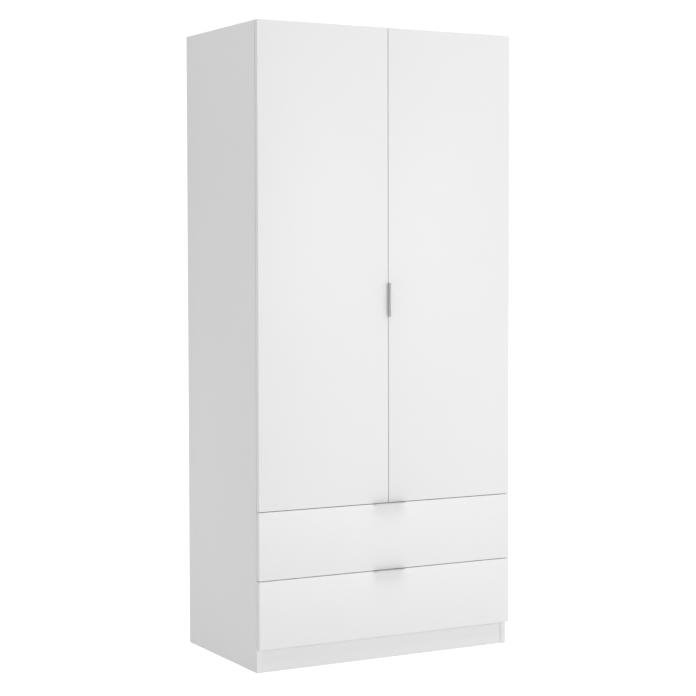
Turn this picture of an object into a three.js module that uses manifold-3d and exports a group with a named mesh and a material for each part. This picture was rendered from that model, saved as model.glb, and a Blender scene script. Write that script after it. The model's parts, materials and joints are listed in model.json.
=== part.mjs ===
// Wardrobe with two hinged doors over two drawers, in melamine-faced chipboard.
// Millimetres, +Z up, +X to the right of someone who faces the doors, which look towards -Y.
// The origin is on the floor, under the middle of the bounding box.

import * as THREE from 'three';
import { mergeVertices } from 'three/addons/utils/BufferGeometryUtils.js';
import Module from 'manifold-3d';

const wasm = await Module();
wasm.setup();

// ---------------------------------------------------------------- driving dimensions

const WIDTH = 810;
const HEIGHT = 1800;
const BODY_DEPTH = 500; // front face of the doors to the rear edge of the side panels
const HANDLE_REACH = 16; // how far a handle stands in front of the doors

const BOARD = 16; // carcass panels, doors and drawer fronts
const DRAWER_BOARD = 12; // drawer sides and backs
const SHEET = 3; // wardrobe back and drawer bottoms
const SHEET_PLAY = 0.3; // on each face of a sheet in its groove
const GROOVE_DEPTH = 6;

const SEAM = 2; // between neighbouring doors and drawer fronts
const FRONT_GAP = 2.5; // between the doors' back faces and the carcass
const TOUCH_GAP = 0.3; // between cut or rolling pieces that meet

const PLINTH_HEIGHT = 66;
const PLINTH_RECESS = 2;
const FRONTS_BOTTOM = 66.5;
const DRAWER_FRONT_HEIGHT = 190;
const SHELF_TOP = 1520;
const SHELF_SETBACK = 20;
const BACK_INSET = 10.2; // rear edge of the side panels to the groove of the back
const BACK_BOTTOM = 40;

const HANDLE_LENGTH = 97;
const DOOR_HANDLE_LEVEL = 1030; // middle of the door handles
const DOOR_HANDLE_PLATE = 0.8;
const DRAWER_HANDLE_PLATE = 1.2;
const HANDLE_FLANGE = 14;

const RAIL = { halfHeight: 15, halfWidth: 7.5, wall: 1.2, level: 1462 };
const SOCKET = { rim: 3.5, length: 10, floor: 1.6 };

const HINGE = {
  pivotInset: 6, // pivot to the outer face of the carcass
  pivotDepth: 6, // pivot to the front face of the door
  pinRadius: 1.25,
  pinHalfLength: 7,
  cupRadius: 17.5,
  cupCentre: 20.5, // middle of the cup to the outer face of the carcass
  cupDepth: 12.5,
  cupWall: 0.7,
  flangeThickness: 1.2,
  flangeRadius: 18.7,
  endMargin: 100, // first and last hinge to the door's ends
};

const RUNNER = {
  length: 450,
  space: 12.5, // side panel to drawer side
  metal: 1.2,
  channelHeight: 28,
  channelWidth: 9,
  lipWidth: 3.6,
  drawerFlange: 6.2,
  drawerLip: 10,
  rollerRadius: 8.4,
  rollerWidth: 6,
  pinRadius: 2,
  rollerFromEnd: 13,
};
const DRAWER_SIDE_HEIGHT = 120;
const DRAWER_BOTTOM_LEVEL = 8; // groove of the drawer bottom above the sides' lower edge
const LOWER_DRAWER_LEVEL = 96; // lower edge of the lower drawer's sides
const DRAWER_CLEARANCE = 2; // lower edge of a drawer's sides above its runner's lower edge

// ---------------------------------------------------------------- derived places

const BACK_Y = (BODY_DEPTH + HANDLE_REACH) / 2;
const FACE_Y = BACK_Y - BODY_DEPTH; // front faces of doors and drawers
const FRONT_BACK_Y = FACE_Y + BOARD; // their back faces
const CARCASS_Y = FRONT_BACK_Y + FRONT_GAP; // front edges of the carcass
const HANDLE_Y = FACE_Y - HANDLE_REACH;

const SIDE_INNER = WIDTH / 2 - BOARD;
const BACK_GROOVE = SHEET + 2 * SHEET_PLAY;
const BACK_SHEET_Y = BACK_Y - BACK_INSET - SHEET_PLAY - SHEET;
const STRIP_METAL = 0.9;
const SHELF_BACK_Y = BACK_SHEET_Y - SHEET_PLAY - STRIP_METAL - TOUCH_GAP;

const FRONT_PITCH = DRAWER_FRONT_HEIGHT + SEAM;
const DOOR_BOTTOM = FRONTS_BOTTOM + 2 * FRONT_PITCH;
const MIDDLE_PANEL_BOTTOM = DOOR_BOTTOM - (SEAM + BOARD) / 2;
const DRAWER_OUTER = SIDE_INNER - RUNNER.space;
const DRAWER_INNER = DRAWER_OUTER - DRAWER_BOARD;
const DRAWER_REAR_Y = FRONT_BACK_Y + RUNNER.length;
const HINGE_LEVELS = {
  lower: DOOR_BOTTOM + HINGE.endMargin,
  middle: (DOOR_BOTTOM + HEIGHT) / 2,
  upper: HEIGHT - HINGE.endMargin,
};
const SIDES = { left: -1, right: 1 };

// ---------------------------------------------------------------- materials

const finish = (color, roughness, metalness) => () =>
  new THREE.MeshStandardMaterial({ color, roughness, metalness });

const MATERIALS = {
  melamine: finish(0xf0f0f0, 0.5, 0),
  hardboard: finish(0xe6e4e0, 0.8, 0),
  handleMetal: finish(0xa9abad, 0.35, 1),
  hingeSteel: finish(0xb9bbbe, 0.3, 1),
  runnerSteel: finish(0xf2f2ef, 0.4, 0.1),
  nylon: finish(0xe9e9e4, 0.5, 0),
  chrome: finish(0xd6d8da, 0.12, 1),
  plastic: finish(0xededeb, 0.45, 0),
};

// ---------------------------------------------------------------- geometry helpers

/** A box between two values on each axis, given in any order. */
function box(x0, x1, y0, y1, z0, z1) {
  const geometry = new THREE.BoxGeometry(Math.abs(x1 - x0), Math.abs(y1 - y0), Math.abs(z1 - z0));
  return geometry.translate((x0 + x1) / 2, (y0 + y1) / 2, (z0 + z1) / 2);
}

/** A closed outline from [a, b] corners, or from a THREE.Shape. */
function outline(corners) {
  return corners instanceof THREE.Shape
    ? corners
    : new THREE.Shape(corners.map(([a, b]) => new THREE.Vector2(a, b)));
}

function extrude(corners, length, segments = 12) {
  return new THREE.ExtrudeGeometry(outline(corners), {
    depth: length,
    bevelEnabled: false,
    curveSegments: segments,
  });
}

/** Outline in (x, y), extruded from z0 up to z1. */
function alongZ(corners, z0, z1) {
  return extrude(corners, z1 - z0).translate(0, 0, z0);
}

/** Outline in (y, z), extruded from x0 to x1. */
function alongX(corners, x0, x1) {
  const turn = new THREE.Matrix4().set(0, 0, 1, 0, 1, 0, 0, 0, 0, 1, 0, 0, 0, 0, 0, 1);
  return extrude(corners, Math.abs(x1 - x0)).applyMatrix4(turn).translate(Math.min(x0, x1), 0, 0);
}

/** Outline in (x, z), extruded from y0 to y1. */
function alongY(corners, y0, y1) {
  return extrude(corners, y1 - y0).rotateX(Math.PI / 2).translate(0, y1, 0);
}

/** A round bar between two values on the named axis, centred on the other two coordinates. */
function bar(axis, radius, from, to, a, b, segments = 24) {
  const geometry = new THREE.CylinderGeometry(radius, radius, Math.abs(to - from), segments);
  const middle = (from + to) / 2;
  if (axis === 'x') return geometry.rotateZ(Math.PI / 2).translate(middle, a, b);
  if (axis === 'y') return geometry.translate(a, middle, b);
  return geometry.rotateX(Math.PI / 2).translate(a, b, middle);
}

/** The solid of a closed geometry, for cutting and joining. */
function solid(geometry) {
  const bare = geometry.clone();
  bare.deleteAttribute('normal');
  bare.deleteAttribute('uv');
  const merged = mergeVertices(bare, 1e-4);
  return new wasm.Manifold(new wasm.Mesh({
    numProp: 3,
    vertProperties: new Float32Array(merged.attributes.position.array),
    triVerts: new Uint32Array(merged.index.array),
  }));
}

/** The geometry of a solid. */
function surface(manifold) {
  const { vertProperties, triVerts } = manifold.getMesh();
  const geometry = new THREE.BufferGeometry();
  geometry.setAttribute('position', new THREE.BufferAttribute(new Float32Array(vertProperties), 3));
  geometry.setIndex(new THREE.BufferAttribute(new Uint32Array(triVerts), 1));
  geometry.computeVertexNormals();
  return geometry;
}

function joined(...geometries) {
  return surface(geometries.map(solid).reduce((sum, piece) => sum.add(piece)));
}

function cut(geometry, ...tools) {
  return surface(tools.map(solid).reduce((rest, tool) => rest.subtract(tool), solid(geometry)));
}

/** An upright oval with straight flanks, in (y, z). */
function oval(halfWidth, halfHeight, y, z) {
  const shape = new THREE.Shape();
  const straight = halfHeight - halfWidth;
  shape.absarc(y, z + straight, halfWidth, 0, Math.PI, false);
  shape.absarc(y, z - straight, halfWidth, Math.PI, 2 * Math.PI, false);
  return shape;
}

// ---------------------------------------------------------------- assembly

const wardrobe = new THREE.Group();

function add(name, geometry, material) {
  const mesh = new THREE.Mesh(geometry, MATERIALS[material]());
  mesh.name = name;
  wardrobe.add(mesh);
}

/** X of a point given by its distance in from the carcass's outer face. */
const inFrom = (side, distance) => side * (WIDTH / 2 - distance);

// ---------------------------------------------------------------- carcass

function sidePanel(side) {
  const outer = inFrom(side, 0);
  const inner = inFrom(side, BOARD);
  const groove = inFrom(side, BOARD - GROOVE_DEPTH);
  const grooveBack = BACK_Y - BACK_INSET;
  const grooveFront = grooveBack - BACK_GROOVE;
  return alongZ([
    [outer, CARCASS_Y],
    [inner, CARCASS_Y],
    [inner, grooveFront],
    [groove, grooveFront],
    [groove, grooveBack],
    [inner, grooveBack],
    [inner, BACK_Y],
    [outer, BACK_Y],
  ], 0, HEIGHT);
}

function topPanel() {
  const under = HEIGHT - BOARD;
  const grooveBack = BACK_Y - BACK_INSET;
  const grooveFront = grooveBack - BACK_GROOVE;
  return alongX([
    [CARCASS_Y, under],
    [grooveFront, under],
    [grooveFront, under + GROOVE_DEPTH],
    [grooveBack, under + GROOVE_DEPTH],
    [grooveBack, under],
    [BACK_Y, under],
    [BACK_Y, HEIGHT],
    [CARCASS_Y, HEIGHT],
  ], -SIDE_INNER, SIDE_INNER);
}

/** A board that lies between the side panels. */
function innerPanel(frontY, bottom) {
  return box(-SIDE_INNER, SIDE_INNER, frontY, SHELF_BACK_Y, bottom, bottom + BOARD);
}

function backSheet(side) {
  const outer = side * (SIDE_INNER + GROOVE_DEPTH - 2 * SHEET_PLAY);
  const middle = side * (STRIP_METAL / 2 + SHEET_PLAY);
  const top = HEIGHT - BOARD + GROOVE_DEPTH - 2 * SHEET_PLAY;
  return box(outer, middle, BACK_SHEET_Y, BACK_SHEET_Y + SHEET, BACK_BOTTOM, top);
}

/** H-profile that joins the two halves of the back. */
function joiningStrip() {
  const halfWidth = 12;
  const web = STRIP_METAL / 2;
  const front = BACK_SHEET_Y - SHEET_PLAY;
  const back = BACK_SHEET_Y + SHEET + SHEET_PLAY;
  return alongZ([
    [-halfWidth, front - STRIP_METAL],
    [halfWidth, front - STRIP_METAL],
    [halfWidth, front],
    [web, front],
    [web, back],
    [halfWidth, back],
    [halfWidth, back + STRIP_METAL],
    [-halfWidth, back + STRIP_METAL],
    [-halfWidth, back],
    [-web, back],
    [-web, front],
    [-halfWidth, front],
  ], BACK_BOTTOM, HEIGHT - BOARD - TOUCH_GAP);
}

const RAIL_Y = (CARCASS_Y + BACK_SHEET_Y) / 2;

function hangingRail() {
  const end = SIDE_INNER - SOCKET.floor - TOUCH_GAP;
  const shape = oval(RAIL.halfWidth, RAIL.halfHeight, RAIL_Y, RAIL.level);
  const inside = oval(RAIL.halfWidth - RAIL.wall, RAIL.halfHeight - RAIL.wall, RAIL_Y, RAIL.level);
  shape.holes.push(inside);
  return alongX(shape, -end, end);
}

function railSocket(side) {
  const grown = (extra) => oval(RAIL.halfWidth + extra, RAIL.halfHeight + extra, RAIL_Y, RAIL.level);
  const wall = side * SIDE_INNER;
  const mouth = side * (SIDE_INNER - SOCKET.length);
  const floor = side * (SIDE_INNER - SOCKET.floor);
  return cut(
    alongX(grown(SOCKET.rim), wall, mouth),
    alongX(grown(TOUCH_GAP), floor, mouth - side),
  );
}

function buildCarcass() {
  for (const [name, side] of Object.entries(SIDES)) {
    add(`${name}_side_panel`, sidePanel(side), 'melamine');
    add(`${name}_back_sheet`, backSheet(side), 'hardboard');
    add(`${name}_rail_socket`, railSocket(side), 'plastic');
  }
  add('top_panel', topPanel(), 'melamine');
  add('bottom_panel', innerPanel(CARCASS_Y, PLINTH_HEIGHT), 'melamine');
  add('middle_panel', innerPanel(CARCASS_Y, MIDDLE_PANEL_BOTTOM), 'melamine');
  add('hat_shelf', innerPanel(CARCASS_Y + SHELF_SETBACK, SHELF_TOP - BOARD), 'melamine');
  const plinthY = CARCASS_Y + PLINTH_RECESS;
  add('plinth_board',
    box(-SIDE_INNER, SIDE_INNER, plinthY, plinthY + BOARD, 0, PLINTH_HEIGHT), 'melamine');
  add('rear_base_rail',
    box(-SIDE_INNER, SIDE_INNER, SHELF_BACK_Y - BOARD, SHELF_BACK_Y, 0, PLINTH_HEIGHT), 'melamine');
  add('back_joining_strip', joiningStrip(), 'plastic');
  add('hanging_rail', hangingRail(), 'chrome');
}

// ---------------------------------------------------------------- hinges

/** The sunk cup, its flange on the door's back face, and two eyes that turn on the arm's pin. */
function hingeCup(side, level) {
  const centreX = inFrom(side, HINGE.cupCentre);
  const pivotX = inFrom(side, HINGE.pivotInset);
  const pivotY = FACE_Y + HINGE.pivotDepth;
  const floorY = FRONT_BACK_Y - HINGE.cupDepth;
  const innerRadius = HINGE.cupRadius - HINGE.cupWall;
  const eye = { radius: 2.6, from: 3.6, to: 7.4, play: 0.3 };
  const ear = { halfWidth: 6, halfHeight: 27 };
  const segments = 36;

  const shell = bar('y', HINGE.cupRadius, floorY, FRONT_BACK_Y, centreX, level, segments);
  const flangeY = FRONT_BACK_Y + HINGE.flangeThickness;
  const rim = bar('y', HINGE.flangeRadius, FRONT_BACK_Y, flangeY, centreX, level, segments);
  const ears = box(centreX - ear.halfWidth, centreX + ear.halfWidth, FRONT_BACK_Y, flangeY,
    level - ear.halfHeight, level + ear.halfHeight);
  const hollow = bar('y', innerRadius, floorY + HINGE.cupWall, flangeY + 1, centreX, level, segments);

  let cup = solid(shell).add(solid(rim)).add(solid(ears)).subtract(solid(hollow));
  for (const way of [-1, 1]) {
    const lug = bar('z', eye.radius, level + way * eye.from, level + way * eye.to, pivotX, pivotY);
    cup = cup.add(solid(lug).intersect(solid(shell)));
  }
  const holeRadius = HINGE.pinRadius + eye.play;
  const hole = bar('z', holeRadius, level - eye.to - 1, level + eye.to + 1, pivotX, pivotY);
  return surface(cup.subtract(solid(hole)));
}

/** The arm on its mounting plate, cranked into the cup, with the pivot pin across its tip. */
function hingeArm(side, level) {
  const at = (distance) => inFrom(side, distance);
  const pivotY = FACE_Y + HINGE.pivotDepth;
  const tip = { halfThickness: 0.75, halfHeight: 3, reach: 12, metal: 1.5 };
  const bodyStart = CARCASS_Y + 3.5;
  const bodyEnd = CARCASS_Y + 62;
  const legInner = HINGE.pivotInset + tip.reach;
  const legOuter = legInner + tip.metal;

  const pin = bar('z', HINGE.pinRadius, level - HINGE.pinHalfLength, level + HINGE.pinHalfLength,
    at(HINGE.pivotInset), pivotY, 20);
  const tongue = box(at(HINGE.pivotInset), at(legOuter), pivotY - tip.halfThickness,
    pivotY + tip.halfThickness, level - tip.halfHeight, level + tip.halfHeight);
  const leg = box(at(legInner), at(legOuter), pivotY - tip.halfThickness, bodyStart + 4,
    level - tip.halfHeight, level + tip.halfHeight);
  const body = alongZ([
    [at(BOARD + 2), bodyStart],
    [at(BOARD + 7), bodyStart],
    [at(BOARD + 12), bodyStart + 9],
    [at(BOARD + 12), bodyEnd - 8],
    [at(BOARD + 6), bodyEnd],
    [at(BOARD + 2), bodyEnd],
  ], level - 6.5, level + 6.5);
  const plate = box(at(BOARD), at(BOARD + 2.4), CARCASS_Y + 25, CARCASS_Y + 49,
    level - 24, level + 24);
  return joined(pin, tongue, leg, body, plate);
}

// ---------------------------------------------------------------- doors

function doorPanel(side) {
  const floorY = FRONT_BACK_Y - HINGE.cupDepth - TOUCH_GAP;
  const pockets = Object.values(HINGE_LEVELS).map((level) =>
    bar('y', HINGE.cupRadius + TOUCH_GAP, floorY, FRONT_BACK_Y + 1,
      inFrom(side, HINGE.cupCentre), level, 36));
  const panel = box(inFrom(side, 0), side * SEAM / 2, FACE_Y, FRONT_BACK_Y, DOOR_BOTTOM, HEIGHT);
  return cut(panel, ...pockets);
}

/** Bent plate on the door's free edge, with a flange on the door's back face. */
function doorHandle(side) {
  const edge = side * SEAM / 2;
  const free = side * (SEAM / 2 - DOOR_HANDLE_PLATE);
  const flangeY = FRONT_BACK_Y + DOOR_HANDLE_PLATE;
  return alongZ([
    [free, HANDLE_Y],
    [edge, HANDLE_Y],
    [edge, FRONT_BACK_Y],
    [side * (SEAM / 2 + HANDLE_FLANGE), FRONT_BACK_Y],
    [side * (SEAM / 2 + HANDLE_FLANGE), flangeY],
    [free, flangeY],
  ], DOOR_HANDLE_LEVEL - HANDLE_LENGTH / 2, DOOR_HANDLE_LEVEL + HANDLE_LENGTH / 2);
}

function buildDoors() {
  for (const [name, side] of Object.entries(SIDES)) {
    add(`${name}_door_panel`, doorPanel(side), 'melamine');
    add(`${name}_door_handle`, doorHandle(side), 'handleMetal');
    for (const [place, level] of Object.entries(HINGE_LEVELS)) {
      add(`${name}_door_${place}_hinge_cup`, hingeCup(side, level), 'hingeSteel');
      add(`${name}_door_${place}_hinge_arm`, hingeArm(side, level), 'hingeSteel');
    }
  }
}

// ---------------------------------------------------------------- drawers

/** Heights and places that a drawer's boards, runners and rollers share. */
function drawerPlaces(index) {
  const level = LOWER_DRAWER_LEVEL + index * FRONT_PITCH;
  const channelBottom = level - DRAWER_CLEARANCE;
  const play = 0.25;
  const rollerLevel = channelBottom + RUNNER.metal + play + RUNNER.rollerRadius;
  return {
    level,
    frontBottom: FRONTS_BOTTOM + index * FRONT_PITCH,
    channelBottom,
    rollerLevel,
    rollerTop: rollerLevel + RUNNER.rollerRadius + play,
    channelFront: CARCASS_Y + 2,
    frontRollerY: CARCASS_Y + 2 + RUNNER.rollerFromEnd,
    rearRollerY: DRAWER_REAR_Y - RUNNER.rollerFromEnd,
  };
}

function drawerFront({ level, frontBottom }) {
  const front = box(-WIDTH / 2, WIDTH / 2, FACE_Y, FRONT_BACK_Y,
    frontBottom, frontBottom + DRAWER_FRONT_HEIGHT);
  const reach = DRAWER_INNER + GROOVE_DEPTH + SHEET_PLAY;
  const grooveBottom = level + DRAWER_BOTTOM_LEVEL - SHEET_PLAY;
  const groove = box(-reach, reach, FRONT_BACK_Y - GROOVE_DEPTH + 1, FRONT_BACK_Y + 1,
    grooveBottom, grooveBottom + BACK_GROOVE);
  return cut(front, groove);
}

function drawerSide(side, { level }) {
  const outer = side * DRAWER_OUTER;
  const inner = side * DRAWER_INNER;
  const groove = side * (DRAWER_INNER + GROOVE_DEPTH);
  const grooveBottom = level + DRAWER_BOTTOM_LEVEL - SHEET_PLAY;
  return alongY([
    [outer, level],
    [inner, level],
    [inner, grooveBottom],
    [groove, grooveBottom],
    [groove, grooveBottom + BACK_GROOVE],
    [inner, grooveBottom + BACK_GROOVE],
    [inner, level + DRAWER_SIDE_HEIGHT],
    [outer, level + DRAWER_SIDE_HEIGHT],
  ], FRONT_BACK_Y, DRAWER_REAR_Y);
}

function drawerBack({ level }) {
  const bottom = level + DRAWER_BOTTOM_LEVEL + SHEET + SHEET_PLAY;
  return box(-DRAWER_INNER, DRAWER_INNER, DRAWER_REAR_Y - DRAWER_BOARD, DRAWER_REAR_Y,
    bottom, level + DRAWER_SIDE_HEIGHT);
}

function drawerBottom({ level }) {
  const reach = DRAWER_INNER + GROOVE_DEPTH - SHEET_PLAY;
  const bottom = level + DRAWER_BOTTOM_LEVEL;
  return box(-reach, reach, FRONT_BACK_Y - GROOVE_DEPTH + 1 + SHEET_PLAY, DRAWER_REAR_Y,
    bottom, bottom + SHEET);
}

/** Bent plate on the drawer front's top edge, with a flange down its back face. */
function drawerHandle({ frontBottom }) {
  const top = frontBottom + DRAWER_FRONT_HEIGHT;
  const plateTop = top + DRAWER_HANDLE_PLATE;
  const flangeY = FRONT_BACK_Y + DRAWER_HANDLE_PLATE;
  return alongX([
    [HANDLE_Y, top],
    [HANDLE_Y, plateTop],
    [flangeY, plateTop],
    [flangeY, top - HANDLE_FLANGE],
    [FRONT_BACK_Y, top - HANDLE_FLANGE],
    [FRONT_BACK_Y, top],
  ], -HANDLE_LENGTH / 2, HANDLE_LENGTH / 2);
}

/** Rolled channel on the side panel, with the pin of the front roller. */
function cabinetRunner(side, places) {
  const x = (distance) => side * (SIDE_INNER - distance);
  const { channelBottom: low, rollerTop, frontRollerY, rollerLevel, channelFront } = places;
  const { metal, channelWidth, channelHeight, lipWidth, pinRadius, length } = RUNNER;
  const channel = alongY([
    [x(0), low],
    [x(channelWidth), low],
    [x(channelWidth), low + metal],
    [x(metal), low + metal],
    [x(metal), rollerTop],
    [x(metal + lipWidth), rollerTop],
    [x(metal + lipWidth), rollerTop + metal],
    [x(metal), rollerTop + metal],
    [x(metal), low + channelHeight],
    [x(0), low + channelHeight],
  ], channelFront, channelFront + length);
  const pin = bar('x', pinRadius, x(metal / 2), x(9.8), frontRollerY, rollerLevel);
  return joined(channel, pin);
}

/** Rolled angle under the drawer side, with the pin of the rear roller. */
function drawerRunner(side, places) {
  const x = (distance) => side * (DRAWER_OUTER + distance);
  const { level, rollerTop, rearRollerY, rollerLevel } = places;
  const { metal, drawerFlange, drawerLip, pinRadius } = RUNNER;
  const angle = alongY([
    [x(-drawerLip), level],
    [x(-drawerLip), level - metal],
    [x(metal), level - metal],
    [x(metal), rollerTop],
    [x(metal + drawerFlange), rollerTop],
    [x(metal + drawerFlange), rollerTop + metal],
    [x(0), rollerTop + metal],
    [x(0), level],
  ], FRONT_BACK_Y + 2, DRAWER_REAR_Y + 2);
  const pin = bar('x', pinRadius, x(metal / 2), x(9.5), rearRollerY, rollerLevel);
  return joined(angle, pin);
}

function roller(side, y, level) {
  const half = RUNNER.rollerWidth / 2;
  const edge = 0.8;
  const bore = RUNNER.pinRadius + TOUCH_GAP;
  const profile = [
    [bore, -half],
    [RUNNER.rollerRadius - edge, -half],
    [RUNNER.rollerRadius, -half + edge],
    [RUNNER.rollerRadius, half - edge],
    [RUNNER.rollerRadius - edge, half],
    [bore, half],
    [bore, -half],
  ].map(([radius, along]) => new THREE.Vector2(radius, along));
  const middle = side * (SIDE_INNER - 6.5);
  return new THREE.LatheGeometry(profile, 24).rotateZ(Math.PI / 2).translate(middle, y, level);
}

function buildDrawers() {
  ['lower', 'upper'].forEach((drawer, index) => {
    const places = drawerPlaces(index);
    add(`${drawer}_drawer_front`, drawerFront(places), 'melamine');
    add(`${drawer}_drawer_back`, drawerBack(places), 'melamine');
    add(`${drawer}_drawer_bottom`, drawerBottom(places), 'hardboard');
    add(`${drawer}_drawer_handle`, drawerHandle(places), 'handleMetal');
    for (const [name, side] of Object.entries(SIDES)) {
      add(`${drawer}_drawer_${name}_side`, drawerSide(side, places), 'melamine');
      add(`${drawer}_${name}_cabinet_runner`, cabinetRunner(side, places), 'runnerSteel');
      add(`${drawer}_${name}_drawer_runner`, drawerRunner(side, places), 'runnerSteel');
      const { frontRollerY, rearRollerY, rollerLevel } = places;
      add(`${drawer}_${name}_front_roller`, roller(side, frontRollerY, rollerLevel), 'nylon');
      add(`${drawer}_${name}_rear_roller`, roller(side, rearRollerY, rollerLevel), 'nylon');
    }
  });
}

buildCarcass();
buildDoors();
buildDrawers();

export default wardrobe;
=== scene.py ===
"""White wardrobe with two doors over two drawers: the finished look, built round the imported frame."""

import json
import math

import bpy
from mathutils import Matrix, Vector


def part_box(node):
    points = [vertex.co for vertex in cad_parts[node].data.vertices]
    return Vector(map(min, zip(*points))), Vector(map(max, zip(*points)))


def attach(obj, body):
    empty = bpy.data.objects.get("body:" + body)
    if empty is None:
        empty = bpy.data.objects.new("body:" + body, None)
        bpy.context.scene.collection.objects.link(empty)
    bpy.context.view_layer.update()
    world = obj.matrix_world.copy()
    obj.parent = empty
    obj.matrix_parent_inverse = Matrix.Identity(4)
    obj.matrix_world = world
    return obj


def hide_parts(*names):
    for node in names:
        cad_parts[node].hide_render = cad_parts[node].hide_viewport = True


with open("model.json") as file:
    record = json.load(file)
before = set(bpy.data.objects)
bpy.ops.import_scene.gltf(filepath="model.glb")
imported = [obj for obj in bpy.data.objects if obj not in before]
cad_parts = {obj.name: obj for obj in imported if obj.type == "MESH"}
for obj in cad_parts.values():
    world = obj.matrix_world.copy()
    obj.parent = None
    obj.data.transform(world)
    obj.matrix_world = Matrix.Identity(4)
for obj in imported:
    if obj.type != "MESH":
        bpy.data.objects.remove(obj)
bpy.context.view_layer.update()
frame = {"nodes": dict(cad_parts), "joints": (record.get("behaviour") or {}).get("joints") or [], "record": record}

MM = 0.001
SMOOTH_ANGLE = math.radians(32)
LEFT, RIGHT = -1, 1
SIDES = {"left": LEFT, "right": RIGHT}
DRAWERS = ("lower", "upper")
LEVELS = ("lower", "middle", "upper")

# ------------------------------------------------------------------ places read from the frame

BODY_OF = {
    node: body
    for body, nodes in frame["record"]["behaviour"]["bodies"].items()
    for node in nodes
}
PIVOTS = {joint["name"]: Vector(joint["pos_m"]) for joint in frame["joints"] if "pos_m" in joint}
PANEL_LOW, PANEL_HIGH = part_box("left_side_panel")
CARCASS_FRONT = PANEL_LOW.y
SIDE_INNER = -PANEL_HIGH.x
DOOR_LOW, DOOR_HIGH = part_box("left_door_panel")
FACE_Y, DOOR_BACK_Y = DOOR_LOW.y, DOOR_HIGH.y
HEIGHT = PANEL_HIGH.z
BOARD = DOOR_BACK_Y - FACE_Y
PLAY = 0.3 * MM


def middle(node):
    low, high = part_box(node)
    return (low + high) / 2


# ------------------------------------------------------------------ modelling helpers

def deselect_all():
    if bpy.context.mode != "OBJECT":
        bpy.ops.object.mode_set(mode="OBJECT")
    bpy.ops.object.select_all(action="DESELECT")


def pick(*pieces):
    """Selects only these pieces, with the first one active."""
    deselect_all()
    for piece in pieces:
        piece.select_set(True)
    bpy.context.view_layer.objects.active = pieces[0]


def settle(piece):
    """Moves a piece's place, turn and scale into its mesh."""
    pick(piece)
    bpy.ops.object.transform_apply(location=True, rotation=True, scale=True)
    return piece


def fresh(name):
    piece = bpy.context.active_object
    piece.name = piece.data.name = name
    return settle(piece)


def add_block(name, low, high):
    """A block between two corners."""
    low, high = Vector(low), Vector(high)
    deselect_all()
    bpy.ops.mesh.primitive_cube_add(size=1, location=(low + high) / 2, scale=high - low)
    return fresh(name)


def add_rod(name, radius, start, end, sides=48):
    """A round bar from one point to another."""
    start, end = Vector(start), Vector(end)
    turn = (end - start).to_track_quat("Z", "Y").to_euler()
    deselect_all()
    bpy.ops.mesh.primitive_cylinder_add(
        vertices=sides, radius=radius, depth=(end - start).length,
        location=(start + end) / 2, rotation=turn)
    return fresh(name)


def clear_selection(mesh):
    """Deselects every part of a mesh while it is out of edit mode."""
    for parts in (mesh.vertices, mesh.edges, mesh.polygons):
        parts.foreach_set("select", [False] * len(parts))


def edit_faces(piece, test):
    """Opens edit mode with the faces selected whose centre and normal pass the test."""
    pick(piece)
    bpy.context.tool_settings.mesh_select_mode = (False, False, True)
    clear_selection(piece.data)
    for face in piece.data.polygons:
        face.select = test(face.center, face.normal)
    bpy.ops.object.mode_set(mode="EDIT")


def edit_edges(piece, test):
    """Opens edit mode with the edges selected whose two ends pass the test."""
    pick(piece)
    bpy.context.tool_settings.mesh_select_mode = (False, True, False)
    mesh = piece.data
    clear_selection(mesh)
    for edge in mesh.edges:
        first, last = (mesh.vertices[i].co for i in edge.vertices)
        edge.select = test(first, last)
    bpy.ops.object.mode_set(mode="EDIT")


def edit_vertices(piece, test):
    """Opens edit mode with the vertices selected whose place passes the test."""
    pick(piece)
    bpy.context.tool_settings.mesh_select_mode = (True, False, False)
    clear_selection(piece.data)
    for vertex in piece.data.vertices:
        vertex.select = test(vertex.co)
    bpy.ops.object.mode_set(mode="EDIT")


def close_edit():
    bpy.ops.object.mode_set(mode="OBJECT")


def extrude(way):
    bpy.ops.mesh.extrude_region_move(TRANSFORM_OT_translate={"value": Vector(way)})


def inset(thickness):
    bpy.ops.mesh.inset(thickness=thickness, depth=0)


def apply_modifier(piece, kind, **settings):
    pick(piece)
    modifier = piece.modifiers.new(kind.title(), kind)
    for key, value in settings.items():
        setattr(modifier, key, value)
    bpy.ops.object.modifier_apply(modifier=modifier.name)


def soften(piece, width, segments=2, angle=40):
    """Rounds every edge that is sharper than the angle."""
    apply_modifier(piece, "BEVEL", width=width, segments=segments, limit_method="ANGLE",
                   angle_limit=math.radians(angle), harden_normals=False)


def soften_edges(piece, width, segments, test):
    """Rounds only the edges that pass the test."""
    edit_edges(piece, test)
    bpy.ops.mesh.bevel(offset=width, segments=segments, affect="EDGES")
    close_edit()


def join(host, *others):
    pick(host, *others)
    bpy.ops.object.join()
    return host


def combine(piece, operation, *tools):
    """Cuts, joins or trims a piece with closed tools, which are used up."""
    for tool in tools:
        apply_modifier(piece, "BOOLEAN", operation=operation, solver="EXACT", object=tool)
        bpy.data.objects.remove(tool)
    return piece


def cut(piece, *tools):
    return combine(piece, "DIFFERENCE", *tools)


def copied(source, name):
    """A copy with a mesh of its own."""
    piece = source.copy()
    piece.data = source.data.copy()
    piece.name = piece.data.name = name
    bpy.context.scene.collection.objects.link(piece)
    return piece


def placed_copy(source, name, place, way=(0, 0, 1), turn=0.0):
    """A copy of a piece made at the origin and facing +Z, put at a place and faced the given way."""
    piece = copied(source, name)
    piece.rotation_euler = Vector(way).to_track_quat("Z", "Y").to_euler()
    piece.location = place
    return settle(piece)


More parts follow.
